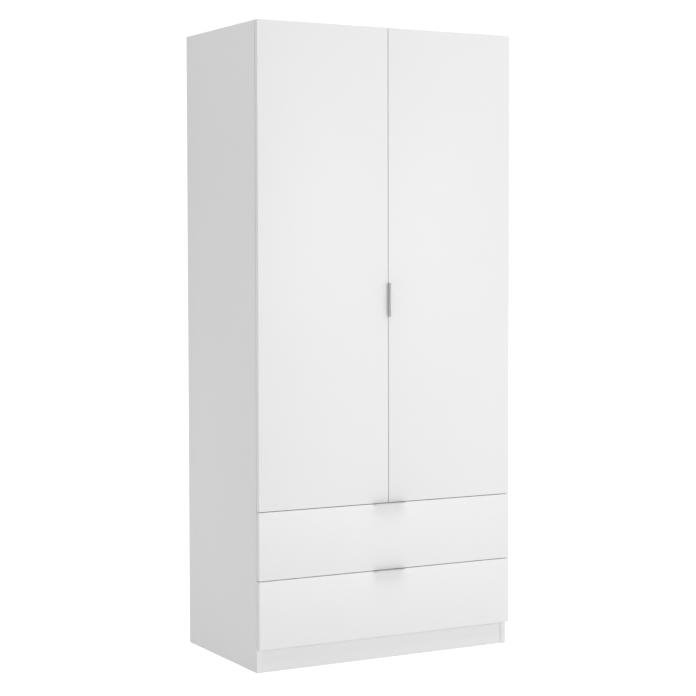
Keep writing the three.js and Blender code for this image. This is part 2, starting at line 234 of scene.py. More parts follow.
def mirrored_copy(source, name):
    """A copy reflected to the wardrobe's other half, with its faces turned out again."""
    piece = copied(source, name)
    piece.scale.x = -1
    settle(piece)
    edit_faces(piece, lambda centre, normal: True)
    bpy.ops.mesh.normals_make_consistent(inside=False)
    close_edit()
    return piece


def finish_piece(piece, body, slot, *nodes):
    """Rides a finished piece on its body, in place of its CAD nodes."""
    settle(piece)
    bpy.ops.object.shade_smooth_by_angle(angle=SMOOTH_ANGLE)
    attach(piece, body)
    if nodes:
        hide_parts(*nodes)
    return piece


def wear(piece, *materials):
    piece.data.materials.clear()
    for material in materials:
        piece.data.materials.append(material)


# ------------------------------------------------------------------ shared shader effects

def new_group(name, inputs, outputs):
    group = bpy.data.node_groups.new(name, "ShaderNodeTree")
    for socket_name, kind, value in inputs:
        socket = group.interface.new_socket(socket_name, in_out="INPUT", socket_type=kind)
        if value is not None:
            socket.default_value = value
    for socket_name, kind in outputs:
        group.interface.new_socket(socket_name, in_out="OUTPUT", socket_type=kind)
    return group, group.nodes.new("NodeGroupInput"), group.nodes.new("NodeGroupOutput")


def put(tree, kind, links=None, **settings):
    """Adds a node. links maps an input's name or number to a socket or a plain value."""
    node = tree.nodes.new(kind)
    for key, value in settings.items():
        setattr(node, key, value)
    for key, value in (links or {}).items():
        if isinstance(value, bpy.types.NodeSocket):
            tree.links.new(value, node.inputs[key])
        else:
            node.inputs[key].default_value = value
    return node


FLOAT, VECTOR = "NodeSocketFloat", "NodeSocketVector"


def grain_group():
    """Fine grain for bump and roughness, and a broad drift of tone."""
    group, given, out = new_group(
        "grain_and_drift",
        [("Vector", VECTOR, None), ("Grain Scale", FLOAT, 900.0), ("Drift Scale", FLOAT, 2.5)],
        [("Grain", FLOAT), ("Drift", FLOAT)])
    for name, detail in (("Grain", 3.0), ("Drift", 2.0)):
        noise = put(group, "ShaderNodeTexNoise", {
            "Vector": given.outputs["Vector"], "Scale": given.outputs[f"{name} Scale"],
            "Detail": detail, "Roughness": 0.55})
        group.links.new(noise.outputs["Fac"], out.inputs[name])
    return group


def marks_group():
    """A mask of sparse, faint rubbed patches, as handling leaves them."""
    group, given, out = new_group(
        "handling_marks",
        [("Vector", VECTOR, None), ("Scale", FLOAT, 9.0), ("Amount", FLOAT, 0.35)],
        [("Mask", FLOAT)])
    patches = put(group, "ShaderNodeTexNoise", {
        "Vector": given.outputs["Vector"], "Scale": given.outputs["Scale"], "Detail": 5.0,
        "Roughness": 0.7, "Distortion": 0.6})
    sparse = put(group, "ShaderNodeMapRange", {
        "Value": patches.outputs["Fac"], "From Min": 0.56, "From Max": 0.78,
        "To Min": 0.0, "To Max": given.outputs["Amount"]})
    group.links.new(sparse.outputs["Result"], out.inputs["Mask"])
    return group


def brushed_group():
    """Long fine lines for drawn and brushed metal. The vector is squeezed along the lines."""
    group, given, out = new_group(
        "brushed_lines",
        [("Vector", VECTOR, None), ("Scale", FLOAT, 2400.0)],
        [("Lines", FLOAT)])
    lines = put(group, "ShaderNodeTexNoise", {
        "Vector": given.outputs["Vector"], "Scale": given.outputs["Scale"], "Detail": 4.0,
        "Roughness": 0.65})
    group.links.new(lines.outputs["Fac"], out.inputs["Lines"])
    return group


GRAIN, MARKS, BRUSHED = grain_group(), marks_group(), brushed_group()


class Material:
    """A material with one Principled shader, and the short calls that dress it."""

    def __init__(self, name, color, roughness, metallic=0.0, **plain):
        self.material = bpy.data.materials.new(name)
        self.material.use_nodes = True
        self.tree = self.material.node_tree
        self.shader = self.tree.nodes["Principled BSDF"]
        self.color = color
        self.shader.inputs["Base Color"].default_value = (*color, 1)
        self.shader.inputs["Roughness"].default_value = roughness
        self.shader.inputs["Metallic"].default_value = metallic
        for key, value in plain.items():
            self.shader.inputs[key].default_value = value
        self.material.diffuse_color = (*color, 1)
        self.place = put(self.tree, "ShaderNodeTexCoord").outputs["Object"]

    def stretched(self, scale):
        """The piece's own coordinates, scaled along each axis."""
        return put(self.tree, "ShaderNodeMapping", {"Vector": self.place, "Scale": scale}).outputs[0]

    def group(self, group, **links):
        """Places a shared effect and gives back its outputs."""
        links = {key.replace("_", " "): value for key, value in links.items()}
        links.setdefault("Vector", self.place)
        return put(self.tree, "ShaderNodeGroup", links, node_tree=group).outputs

    def spread(self, value, low, high, start=0.3, end=0.7):
        """The value's middle stretch, spread between two numbers."""
        return put(self.tree, "ShaderNodeMapRange", {
            "Value": value, "From Min": start, "From Max": end,
            "To Min": low, "To Max": high}).outputs["Result"]

    def mix(self, factor, first, second):
        """A blend from the first colour, at factor 0, to the second, at 1."""
        node = put(self.tree, "ShaderNodeMix", data_type="RGBA")
        self.tree.links.new(factor, node.inputs["Factor"])
        for socket, value in ((node.inputs[6], first), (node.inputs[7], second)):
            if isinstance(value, bpy.types.NodeSocket):
                self.tree.links.new(value, socket)
            else:
                socket.default_value = (*value, 1)
        return node.outputs[2]

    def sum(self, first, second):
        return put(self.tree, "ShaderNodeMath", {0: first, 1: second}, operation="ADD").outputs[0]

    def feed(self, **sockets):
        """Links values to the shader's inputs of the same names."""
        for key, value in sockets.items():
            self.tree.links.new(value, self.shader.inputs[key.replace("_", " ")])

    def bump(self, height, distance, strength=1.0):
        node = put(self.tree, "ShaderNodeBump", {
            "Height": height, "Distance": distance, "Strength": strength})
        self.feed(Normal=node.outputs["Normal"])


# ------------------------------------------------------------------ materials

def shade(color, by):
    """A colour made lighter or darker by a factor."""
    return tuple(min(1.0, channel * by) for channel in color)


def melamine():
    """Matt white melamine paper with a very fine pearl grain and the odd rubbed patch."""
    m = Material("white_melamine_face", (0.77, 0.77, 0.77), 0.46, **{"Specular IOR Level": 0.3})
    fine = m.group(GRAIN, Grain_Scale=1400.0, Drift_Scale=2.2)
    marks = m.group(MARKS, Scale=7.0, Amount=0.35)
    m.feed(Base_Color=m.mix(m.spread(fine["Drift"], 0, 1), shade(m.color, 1.006), shade(m.color, 0.992)))
    m.feed(Roughness=m.sum(m.spread(fine["Grain"], 0.42, 0.50), m.spread(marks["Mask"], 0, -0.06, 0, 1)))
    m.bump(fine["Grain"], 0.06 * MM, 0.5)
    return m.material


def edge_band():
    """White edge band, a touch glossier than the faces, with the faint ripple of its rolling."""
    m = Material("white_edge_band", (0.765, 0.765, 0.765), 0.38, **{"Specular IOR Level": 0.35})
    fine = m.group(GRAIN, Vector=m.stretched((1, 1, 0.08)), Grain_Scale=700.0, Drift_Scale=6.0)
    m.feed(Base_Color=m.mix(m.spread(fine["Drift"], 0, 1), m.color, shade(m.color, 0.985)))
    m.feed(Roughness=m.spread(fine["Grain"], 0.34, 0.43))
    m.bump(fine["Grain"], 0.05 * MM, 0.4)
    return m.material


def raw_chipboard():
    """Cut edge of chipboard: flat chips in several browns, with small open gaps."""
    m = Material("raw_chipboard", (0.47, 0.34, 0.21), 0.85)
    chips = put(m.tree, "ShaderNodeTexVoronoi", {
        "Vector": m.stretched((1.0, 1.0, 2.2)), "Scale": 420.0, "Randomness": 1.0})
    chip_tone = put(m.tree, "ShaderNodeSeparateColor", {"Color": chips.outputs["Color"]}).outputs[0]
    fine = m.group(GRAIN, Grain_Scale=1600.0, Drift_Scale=30.0)
    browns = m.mix(chip_tone, (0.56, 0.43, 0.28), (0.33, 0.22, 0.12))
    gaps = m.spread(fine["Grain"], 0, 1, 0.60, 0.72)
    m.feed(Base_Color=m.mix(gaps, browns, (0.11, 0.075, 0.045)))
    m.feed(Roughness=m.spread(fine["Grain"], 0.78, 0.92))
    m.bump(m.sum(chip_tone, fine["Grain"]), 0.25 * MM, 0.6)
    return m.material


def hardboard_white():
    """White lacquer on the smooth side of hardboard, with the fibres just showing."""
    m = Material("hardboard_white_side", (0.75, 0.75, 0.747), 0.5)
    fine = m.group(GRAIN, Grain_Scale=500.0, Drift_Scale=3.0)
    m.feed(Base_Color=m.mix(m.spread(fine["Drift"], 0, 1), m.color, shade(m.color, 0.975)))
    m.feed(Roughness=m.spread(fine["Grain"], 0.44, 0.58))
    m.bump(fine["Grain"], 0.05 * MM, 0.4)
    return m.material


def hardboard_brown():
    """Bare side of hardboard: brown felted fibres under the woven print of the press screen."""
    m = Material("hardboard_bare_side", (0.42, 0.30, 0.19), 0.8)
    fine = m.group(GRAIN, Grain_Scale=650.0, Drift_Scale=45.0)
    fibres = m.group(BRUSHED, Vector=m.stretched((0.35, 1, 1)), Scale=260.0)
    weave = [put(m.tree, "ShaderNodeTexWave", {
        "Vector": m.place, "Scale": 110.0, "Distortion": 0.4, "Detail": 1.0},
        bands_direction=way).outputs["Fac"] for way in ("X", "Z")]
    felt = m.mix(m.spread(fibres["Lines"], 0, 1), (0.50, 0.365, 0.235), (0.38, 0.265, 0.16))
    m.feed(Base_Color=m.mix(m.spread(fine["Drift"], 0, 0.35), felt, (0.54, 0.405, 0.27)))
    m.feed(Roughness=m.spread(fine["Grain"], 0.72, 0.9))
    m.bump(m.sum(m.sum(weave[0], weave[1]), fine["Grain"]), 0.12 * MM, 0.6)
    return m.material


def satin_aluminium(along):
    """Satin anodised aluminium, drawn along the handle's length: x on drawers, z on doors, with the drawer copy
    painted darker as shade.
    """
    # Both tones are the same metal. The x copy's lower tone is painted shade: the drawer pulls are coloured darker
    # for the shadow that falls on and under them.
    tone, squeeze = {"x": (0.54, (0.02, 1, 1)), "z": (0.61, (1, 1, 0.02))}[along]
    m = Material(f"satin_aluminium_{along}", (tone, tone + 0.003, tone + 0.006), 0.36, 1.0)
    lines = m.group(BRUSHED, Vector=m.stretched(squeeze), Scale=2600.0)["Lines"]
    marks = m.group(MARKS, Scale=60.0, Amount=0.5)["Mask"]
    m.feed(Base_Color=m.mix(m.spread(lines, 0, 1), shade(m.color, 0.94), shade(m.color, 1.05)))
    m.feed(Roughness=m.sum(m.spread(lines, 0.32, 0.44), m.spread(marks, 0, 0.08, 0, 1)))
    m.bump(lines, 0.01 * MM, 0.4)
    return m.material


def plated(name, color, roughness, grain=1800.0):
    """Plated steel: a fine matt grain and rubbed, brighter patches."""
    m = Material(name, color, roughness, 1.0)
    fine = m.group(GRAIN, Grain_Scale=grain, Drift_Scale=40.0)
    marks = m.group(MARKS, Scale=120.0, Amount=0.6)["Mask"]
    m.feed(Base_Color=m.mix(m.spread(fine["Drift"], 0, 1), shade(color, 1.04), shade(color, 0.93)))
    m.feed(Roughness=m.sum(m.spread(fine["Grain"], roughness * 0.85, roughness * 1.2),
                           m.spread(marks, 0, 0.1, 0, 1)))
    m.bump(fine["Grain"], 0.01 * MM, 0.25)
    return m.material


def coated(name, color, roughness, grain, depth):
    """A coat or moulding with an even skin: powder coat, lacquer or plastic."""
    m = Material(name, color, roughness)
    fine = m.group(GRAIN, Grain_Scale=grain, Drift_Scale=14.0)
    m.feed(Base_Color=m.mix(m.spread(fine["Drift"], 0, 1), color, shade(color, 0.97)))
    m.feed(Roughness=m.spread(fine["Grain"], roughness * 0.9, roughness * 1.12))
    m.bump(fine["Grain"], depth, 0.4)
    return m.material


FACE, BAND, RAW = melamine(), edge_band(), raw_chipboard()
SHEET_WHITE, SHEET_BROWN = hardboard_white(), hardboard_brown()
# Two copies of one aluminium: the x copy for the drawers is painted darker as shade.
ALUMINIUM = {along: satin_aluminium(along) for along in "xz"}
NICKEL = plated("nickel_plated_steel", (0.66, 0.65, 0.63), 0.24)
ZINC = plated("zinc_plated_steel", (0.60, 0.62, 0.64), 0.34)
CHROME = plated("chrome_plated_steel", (0.72, 0.73, 0.74), 0.09)
EPOXY = coated("white_epoxy_steel", (0.77, 0.77, 0.763), 0.36, 520.0, 0.04 * MM)
NYLON = coated("natural_nylon", (0.74, 0.74, 0.705), 0.42, 1500.0, 0.01 * MM)
PLASTIC = coated("white_plastic", (0.76, 0.76, 0.752), 0.4, 1100.0, 0.015 * MM)
CLEAR_PAD = coated("soft_clear_pad", (0.70, 0.71, 0.70), 0.3, 300.0, 0.02 * MM)

# ------------------------------------------------------------------ screws and small fittings

# Each fitting is modelled once at the origin and faces +Z. What is sunk lies below z = 0.
SUNK = 0.4 * MM
NAIL_SUNK = 0.3 * MM


def cross_slot(fitting, reach, width, low, high):
    """Cuts a cross between two levels."""
    for long_x, long_y in ((reach, width), (width, reach)):
        cut(fitting, add_block("cutter", (-long_x, -long_y, low), (long_x, long_y, high)))


def cross_screw(name, radius, height, recess):
    """A rounded screw head with a cross recess."""
    head = add_rod(name, radius, (0, 0, -SUNK), (0, 0, height), 28)
    soften_edges(head, height * 0.6, 3, lambda a, b: min(a.z, b.z) > height * 0.9)
    cross_slot(head, radius * 0.62, radius * 0.2, height - recess, height + MM)
    wear(head, ZINC)
    return head


def nail(radius=1.9 * MM, height=0.5 * MM):
    """A flat round nail head."""
    head = add_rod("nail", radius, (0, 0, -NAIL_SUNK), (0, 0, height), 16)
    soften(head, height / 2, 2)
    wear(head, ZINC)
    return head


def cover_cap(radius=8.6 * MM, rim=1.2 * MM, height=0.9 * MM, step=0.4 * MM):
    """Cover over a cam fitting: a thin disc with a raised middle."""
    cap = add_rod("cover_cap", radius, (0, 0, 0), (0, 0, height), 40)
    edit_faces(cap, lambda centre, normal: normal.z > 0.9)
    inset(rim)
    extrude((0, 0, step))
    bpy.ops.transform.resize(value=(0.94, 0.94, 1))
    close_edit()
    soften(cap, 0.2 * MM, 2)
    wear(cap, PLASTIC)
    return cap


def bumper(radius=3.2 * MM, height=1.8 * MM, dome=1.1 * MM):
    """Soft stick-on bumper: a low dome."""
    dot = add_rod("bumper", radius, (0, 0, 0), (0, 0, height), 28)
    soften_edges(dot, dome, 4, lambda a, b: min(a.z, b.z) > height * 0.9)
    wear(dot, CLEAR_PAD)
    return dot


def cam_lock(radius=7.4 * MM, rim=1.1 * MM, height=0.5 * MM, dish=0.35 * MM):
    """The turning disc of a cam fitting: a slim disc with a rim and a cross slot."""
    disc = add_rod("cam_lock", radius, (0, 0, -SUNK), (0, 0, height), 40)
    edit_faces(disc, lambda centre, normal: normal.z > 0.9)
    inset(rim)
    extrude((0, 0, -dish))
    close_edit()
    cross_slot(disc, 3.6 * MM, 0.7 * MM, -SUNK / 2, MM)
    soften(disc, 0.12 * MM, 2, 60)
    wear(disc, ZINC)
    return disc


PLATE_SCREW = cross_screw("plate_screw", radius=3.6 * MM, height=1.4 * MM, recess=1.1 * MM)
FLUSH_SCREW = cross_screw("flush_screw", radius=2.6 * MM, height=0.5 * MM, recess=0.6 * MM)
NAIL, CAP, BUMPER, CAM_LOCK = nail(), cover_cap(), bumper(), cam_lock()
PATTERNS = (PLATE_SCREW, FLUSH_SCREW, NAIL, CAP, BUMPER, CAM_LOCK)


def scatter(pattern, name, body, slot, spots, way):
    """Copies of a small fitting at several spots, joined as one piece."""
    finish_piece(join(*[placed_copy(pattern, name, spot, way) for spot in spots]), body, slot)


# ------------------------------------------------------------------ boards

ARRIS = 0.35 * MM
PAST_END = 1.0
BACK_EDGE, UNDER_EDGE, LEFT_EDGE, RIGHT_EDGE = (1, 1), (2, -1), (0, -1), (0, 1)
PIN_HOLE = {"radius": 2.5 * MM, "depth": 10 * MM, "pitch": 32 * MM, "count": 5, "lowest": 860 * MM}
PIN_COLUMNS = (CARCASS_FRONT + 55 * MM, CARCASS_FRONT + 405 * MM)
CUP = {
    "radius": 17.5 * MM, "wall": 0.7 * MM, "rim": 18.7 * MM, "flange": 1.2 * MM,
    "wing": 27 * MM, "wing_half": 6 * MM, "screw": 22 * MM,
}


def paint_board(piece, thin, low, high, raw):
    """Melamine on the two faces, band on the edges, bare chipboard in cuts and on raw edges."""
    wear(piece, FACE, BAND, RAW)
    face_slot, band_slot, raw_slot = range(3)
    near = 2 * ARRIS
    for face in piece.data.polygons:
        centre, normal = face.center, face.normal
        outer = [(axis, way) for axis in range(3) for way, edge in ((-1, low), (1, high))
                 if abs(centre[axis] - edge[axis]) < near and normal[axis] * way > 0.2]
        if any(axis == thin and abs(normal[axis]) > 0.95 for axis, _ in outer):
            face.material_index = face_slot
        elif not outer or any(side in raw for side in outer):
            face.material_index = raw_slot
        else:
            face.material_index = band_slot


def grown_block(node, grow, through=None):
    """A cutting block round a CAD node, grown all round, and run out past both ends of one axis."""
    low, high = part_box(node)
    low, high = low - Vector([grow] * 3), high + Vector([grow] * 3)
    if through is not None:
        low[through], high[through] = -PAST_END, HEIGHT + PAST_END
    return add_block("cutter", low, high)


def board(node, raw=(), grooves=(), pockets=()):
    """A faced and banded board in place of its CAD node. raw lists bare edges as (axis, way)."""
    low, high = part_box(node)
    size = high - low
    thin = min(range(3), key=lambda axis: size[axis])
    piece = add_block(f"{node}_board", low, high)
    soften(piece, ARRIS, 3)
    cut(piece, *grooves)
    if pockets:
        cut(piece, join(*pockets))
    paint_board(piece, thin, low, high, raw)
    return finish_piece(piece, BODY_OF[node], "white_melamine", node)


def shelf_pin_holes(side):
    """Two short columns of drilled holes for one loose shelf at mid-height."""
    inner = side * SIDE_INNER
    holes = []
    for y in PIN_COLUMNS:
        for step in range(PIN_HOLE["count"]):
            z = PIN_HOLE["lowest"] + step * PIN_HOLE["pitch"]
            start, end = (inner - side * MM, y, z), (inner + side * PIN_HOLE["depth"], y, z)
            holes.append(add_rod("cutter", PIN_HOLE["radius"], start, end, 24))
    return holes


def carcass_boards():
    for name, side in SIDES.items():
        groove = grown_block(f"{name}_back_sheet", PLAY, through=2)
        board(f"{name}_side_panel", raw=(BACK_EDGE, UNDER_EDGE), grooves=[groove],
              pockets=shelf_pin_holes(side))
    # The second cut is a hair larger, so that the two share no face.
    grooves = [grown_block("left_back_sheet", PLAY), grown_block("right_back_sheet", 2 * PLAY)]
    board("top_panel", raw=(BACK_EDGE, LEFT_EDGE, RIGHT_EDGE), grooves=grooves)
    for node in ("bottom_panel", "middle_panel", "hat_shelf"):
        board(node, raw=(BACK_EDGE, LEFT_EDGE, RIGHT_EDGE))
    for node in ("plinth_board", "rear_base_rail"):
        board(node, raw=(LEFT_EDGE, RIGHT_EDGE, UNDER_EDGE))


def hinge_pocket(node):
    """The round pocket that a hinge cup is sunk in."""
    centre, floor = middle(node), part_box(node)[0].y
    return add_rod("cutter", CUP["radius"] + PLAY, (centre.x, floor - PLAY, centre.z),
                   (centre.x, DOOR_BACK_Y + MM, centre.z), 64)


def door_boards():
    for name in SIDES:
        pockets = [hinge_pocket(f"{name}_door_{level}_hinge_cup") for level in LEVELS]
        board(f"{name}_door_panel", pockets=pockets)


def drawer_boards():
    for drawer in DRAWERS:
        bottom = f"{drawer}_drawer_bottom"
        board(f"{drawer}_drawer_front", grooves=[grown_block(bottom, PLAY)])
        for name in SIDES:
            board(f"{drawer}_drawer_{name}_side", raw=(BACK_EDGE, UNDER_EDGE),
                  grooves=[grown_block(bottom, PLAY, through=1)])
        board(f"{drawer}_drawer_back", raw=(LEFT_EDGE, RIGHT_EDGE, UNDER_EDGE))


def hardboard_sheet(node, white_axis, white_way):
    """A thin sheet, white on the side that faces the contents and bare on the other."""
    low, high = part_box(node)
    piece = add_block(f"{node}_panel", low, high)
    soften(piece, 0.3 * MM, 2)
    wear(piece, SHEET_WHITE, SHEET_BROWN)
    white_slot, brown_slot = range(2)
    for face in piece.data.polygons:
        is_white = face.normal[white_axis] * white_way > 0.7
        face.material_index = white_slot if is_white else brown_slot
    return finish_piece(piece, BODY_OF[node], "hardboard", node)


def sheets():
    for name in SIDES:
        hardboard_sheet(f"{name}_back_sheet", 1, -1)
    for drawer in DRAWERS:
        hardboard_sheet(f"{drawer}_drawer_bottom", 2, 1)


# ------------------------------------------------------------------ handles

HANDLE = {"flange": 14 * MM, "tip_round": 1.4 * MM, "screw_share": 0.32}


def edge_pull(name, length, reach, thickness):
    """A bent plate along X: its grip in front of the panel's edge, its flange down behind the panel.

    The origin is the middle of the panel's rear arris.
    """
    def is_bend(a, b):
        along = abs(a.x - b.x) > length * 0.9
        return along and min(a.y, b.y) > thickness * 0.99 and min(a.z, b.z) > thickness * 0.99

    def is_tip_corner(a, b):
        return max(a.y, b.y) < -BOARD and abs(a.z - b.z) > thickness * 0.9

    pull = add_block(name, (-length / 2, -BOARD - reach, 0), (length / 2, thickness, thickness))
    edit_faces(pull, lambda centre, normal: True)
    bpy.ops.mesh.bisect(plane_co=(0, 0, 0), plane_no=(0, 1, 0))
    close_edit()
    edit_faces(pull, lambda centre, normal: normal.z < -0.9 and centre.y > 0)
    extrude((0, 0, -HANDLE["flange"]))
    close_edit()
    soften_edges(pull, thickness * 0.85, 5, is_bend)
    soften_edges(pull, HANDLE["tip_round"], 4, is_tip_corner)
    soften(pull, 0.2 * MM, 2, 50)
    wear(pull, ALUMINIUM["x"])
    screw_x = HANDLE["screw_share"] * length
    heads = [placed_copy(FLUSH_SCREW, "head", (x, thickness, -HANDLE["flange"] / 2), (0, 1, 0))
             for x in (-screw_x, screw_x)]
    return join(pull, *heads)


def fit_pull(pull, node, along, turn, corner):
    """Puts a copy of a pull on its panel, turned about Y, in the aluminium drawn along its length; the drawer
    copy's darker colour is painted shade.
    """
    piece = copied(pull, f"{node}_pull")
    piece.rotation_euler = (0, turn, 0)
    piece.location = corner
    settle(piece)
    piece.data.materials[0] = ALUMINIUM[along]
    finish_piece(piece, BODY_OF[node], "handle_metal", node)


def drawer_handles():
    low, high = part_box("upper_drawer_handle")
    panel_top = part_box("upper_drawer_front")[1].z
    pull = edge_pull("drawer_pull", high.x - low.x, FACE_Y - low.y, high.z - panel_top)
    for drawer in DRAWERS:
        corner = (0, DOOR_BACK_Y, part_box(f"{drawer}_drawer_front")[1].z)
        fit_pull(pull, f"{drawer}_drawer_handle", "x", 0, corner)
    bpy.data.objects.remove(pull)


def door_handles():
    low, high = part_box("left_door_handle")
    pull = edge_pull("door_pull", high.z - low.z, FACE_Y - low.y, high.x - DOOR_HIGH.x)
    for name, side in SIDES.items():
        corner = (side * abs(DOOR_HIGH.x), DOOR_BACK_Y, (low.z + high.z) / 2)
        fit_pull(pull, f"{name}_door_handle", "z", -side * math.pi / 2, corner)
    bpy.data.objects.remove(pull)


# ------------------------------------------------------------------ hinges

PIN = {"radius": 1.25 * MM, "half": 7 * MM}
EYE = {"radius": 2.3 * MM, "inner": 3.7 * MM, "outer": 5.6 * MM}
TONGUE = {"length": 12 * MM, "half": 3 * MM, "sheet": 1.5 * MM, "lap": 3 * MM}
ARM = {"start": 3.5 * MM, "off_wall": 2 * MM, "half": 6.5 * MM, "seat": 3.9 * MM, "screw": 17 * MM}
PLATE = {"near": 25 * MM, "far": 49 * MM, "sheet": 2.4 * MM, "screw": 16 * MM}


def hinge_eye(pivot, way):
    """One of the cup's two eyes, which turn on the pin."""
    def level(height):
        return pivot + Vector((0, 0, way * height))

    eye = add_rod("eye", EYE["radius"], level(EYE["inner"]), level(EYE["outer"]), 32)
    hole = add_rod("hole", PIN["radius"] + PLAY, level(TONGUE["half"]), level(PIN["half"]), 24)
    return cut(eye, hole)


def hinge_cup(node, pivot):
    """Pressed cup with a rimmed flange, two wings with screws, and the eyes that turn on the pin."""
    centre, floor = middle(node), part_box(node)[0].y
    mouth, top = DOOR_BACK_Y, DOOR_BACK_Y + CUP["flange"]
    half, reach = CUP["wing_half"], CUP["wing"]

    def at(y, across=0.0, up=0.0):
        return Vector((centre.x + across, y, centre.z + up))

    cup = add_rod(f"{node}_pressing", CUP["radius"], at(floor), at(mouth), 64)
    soften_edges(cup, 1.5 * MM, 3, lambda a, b: max(a.y, b.y) < floor + MM)
    rim = add_rod("rim", CUP["rim"], at(mouth), at(top), 64)
    wings = add_block("wings", at(mouth, -half, -reach), at(top, half, reach))
    soften_edges(wings, half - 0.4 * MM, 6, lambda a, b: abs(a.y - b.y) > MM)
    combine(cup, "UNION", rim, wings)
    hollow = add_rod("hollow", CUP["radius"] - CUP["wall"], at(floor + CUP["wall"]), at(top + MM), 64)
    cut(cup, hollow)
    soften(cup, 0.25 * MM, 2, 50)
    join(cup, *[hinge_eye(pivot, way) for way in (-1, 1)])
    wear(cup, NICKEL)
    heads = [placed_copy(PLATE_SCREW, "head", at(top, up=way * CUP["screw"]), (0, 1, 0))
             for way in (-1, 1)]
    return join(cup, *heads)


def hinge_tongue(pivot, start):
    """The cranked strip that leads from the pin, out of the cup and back into the arm."""
    thick, half = TONGUE["sheet"] / 2, TONGUE["half"]
    crank_x = pivot.x + TONGUE["length"]
    tongue = add_block("tongue", (pivot.x, pivot.y - thick, pivot.z - half),
                       (crank_x, pivot.y + thick, pivot.z + half))
    edit_faces(tongue, lambda centre, normal: normal.x > 0.9)
    extrude((TONGUE["sheet"], 0, 0))
    close_edit()
    edit_faces(tongue, lambda centre, normal: normal.y > 0.9 and centre.x > crank_x)
    extrude((0, start - pivot.y + TONGUE["lap"], 0))
    close_edit()
    soften(tongue, 0.35 * MM, 2, 50)
    return tongue


def hinge_body(start, high, z, screws_y):
    """The arm's pressed body, with a sunk seat for each adjusting screw."""
    wall = -SIDE_INNER

    def is_end_corner(a, b):
        return min(a.x, b.x) > high.x - MM and abs(a.z - b.z) > MM

    def is_long_corner(a, b):
        return min(a.x, b.x) > wall + 6 * MM and abs(a.z - b.z) < 0.01 * MM

    body = add_block("body", (wall + ARM["off_wall"], start, z - ARM["half"]),
                     (high.x, high.y, z + ARM["half"]))
    soften_edges(body, 4.5 * MM, 5, is_end_corner)
    soften_edges(body, 1.6 * MM, 4, is_long_corner)
    soften(body, 0.25 * MM, 2, 50)
    for y in screws_y:
        cut(body, add_rod("seat", ARM["seat"], (high.x - 1.2 * MM, y, z), (high.x + MM, y, z), 32))
    return body


def mounting_plate(low, high):
    """The winged plate that is screwed to the side panel."""
    wall = -SIDE_INNER
    plate = add_block("plate", (wall, CARCASS_FRONT + PLATE["near"], low.z),
                      (wall + PLATE["sheet"], CARCASS_FRONT + PLATE["far"], high.z))
    soften_edges(plate, 6 * MM, 6, lambda a, b: abs(a.x - b.x) > MM)
    soften(plate, 0.4 * MM, 2, 50)
    return plate


def hinge_arm(node, pivot):
    """Cranked arm on a winged mounting plate, with its adjusting and fixing screws. Left-hand side."""
    low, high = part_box(node)
    z, start = pivot.z, CARCASS_FRONT + ARM["start"]
    screws_y = (start + ARM["screw"], high.y - ARM["screw"])
    arm = add_rod(f"{node}_pressing", PIN["radius"], pivot - Vector((0, 0, PIN["half"])),
                  pivot + Vector((0, 0, PIN["half"])), 32)
    soften(arm, 0.2 * MM, 2)
    join(arm, hinge_tongue(pivot, start), hinge_body(start, high, z, screws_y),
         mounting_plate(low, high))
    wear(arm, NICKEL)

    plate_x = -SIDE_INNER + PLATE["sheet"]
    plate_y = CARCASS_FRONT + (PLATE["near"] + PLATE["far"]) / 2
    spots = [(high.x - 1.4 * MM, y, z) for y in screws_y]
    spots += [(plate_x, plate_y, z + way * PLATE["screw"]) for way in (-1, 1)]
    return join(arm, *[placed_copy(PLATE_SCREW, "head", spot, (1, 0, 0)) for spot in spots])


def hinges():
    """Each left-hand hinge, and its mirror image on the right."""
    for level in LEVELS:
        for part, make in (("cup", hinge_cup), ("arm", hinge_arm)):
            node = f"left_door_{level}_hinge_{part}"
            pivot = PIVOTS["left_door_hinge"].copy()
            pivot.z = middle(node).z
            left = make(node, pivot)
            twin = node.replace("left", "right")
            right = mirrored_copy(left, f"{twin}_pressing")
            finish_piece(left, BODY_OF[node], "hinge_steel", node)
            finish_piece(right, BODY_OF[twin], "hinge_steel", twin)


# ------------------------------------------------------------------ hanging rail

RAIL = {"wall": 1.2 * MM, "bore_depth": 20 * MM}
SOCKET = {"floor": 1.6 * MM, "foot": 2.2 * MM, "foot_reach": 9 * MM, "screw": 3.5 * MM}


def oval_bar(name, size, start_x, end_x, centre):
    """An upright oval bar along X: a round bar whose upper and lower halves are moved apart."""
    radius = size.y / 2
    bar = add_rod(name, radius, (start_x, centre.y, centre.z), (end_x, centre.y, centre.z), 48)
    for way in (-1, 1):
        edit_vertices(bar, lambda place: (place.z - centre.z) * way > 0.01 * MM)
        bpy.ops.transform.translate(value=(0, 0, way * (size.z / 2 - radius)))
        close_edit()
    return bar


def hanging_rail():
    """Oval chromed tube with open ends."""
    node = "hanging_rail"
    low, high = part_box(node)
    rail = oval_bar(f"{node}_tube", high - low, low.x, high.x, middle(node))
    for way in (-1, 1):
        edit_faces(rail, lambda place, normal: normal.x * way > 0.9)
        inset(RAIL["wall"])
        extrude((-way * RAIL["bore_depth"], 0, 0))
        close_edit()
    wear(rail, CHROME)
    finish_piece(rail, BODY_OF[node], "rail_chrome", node)


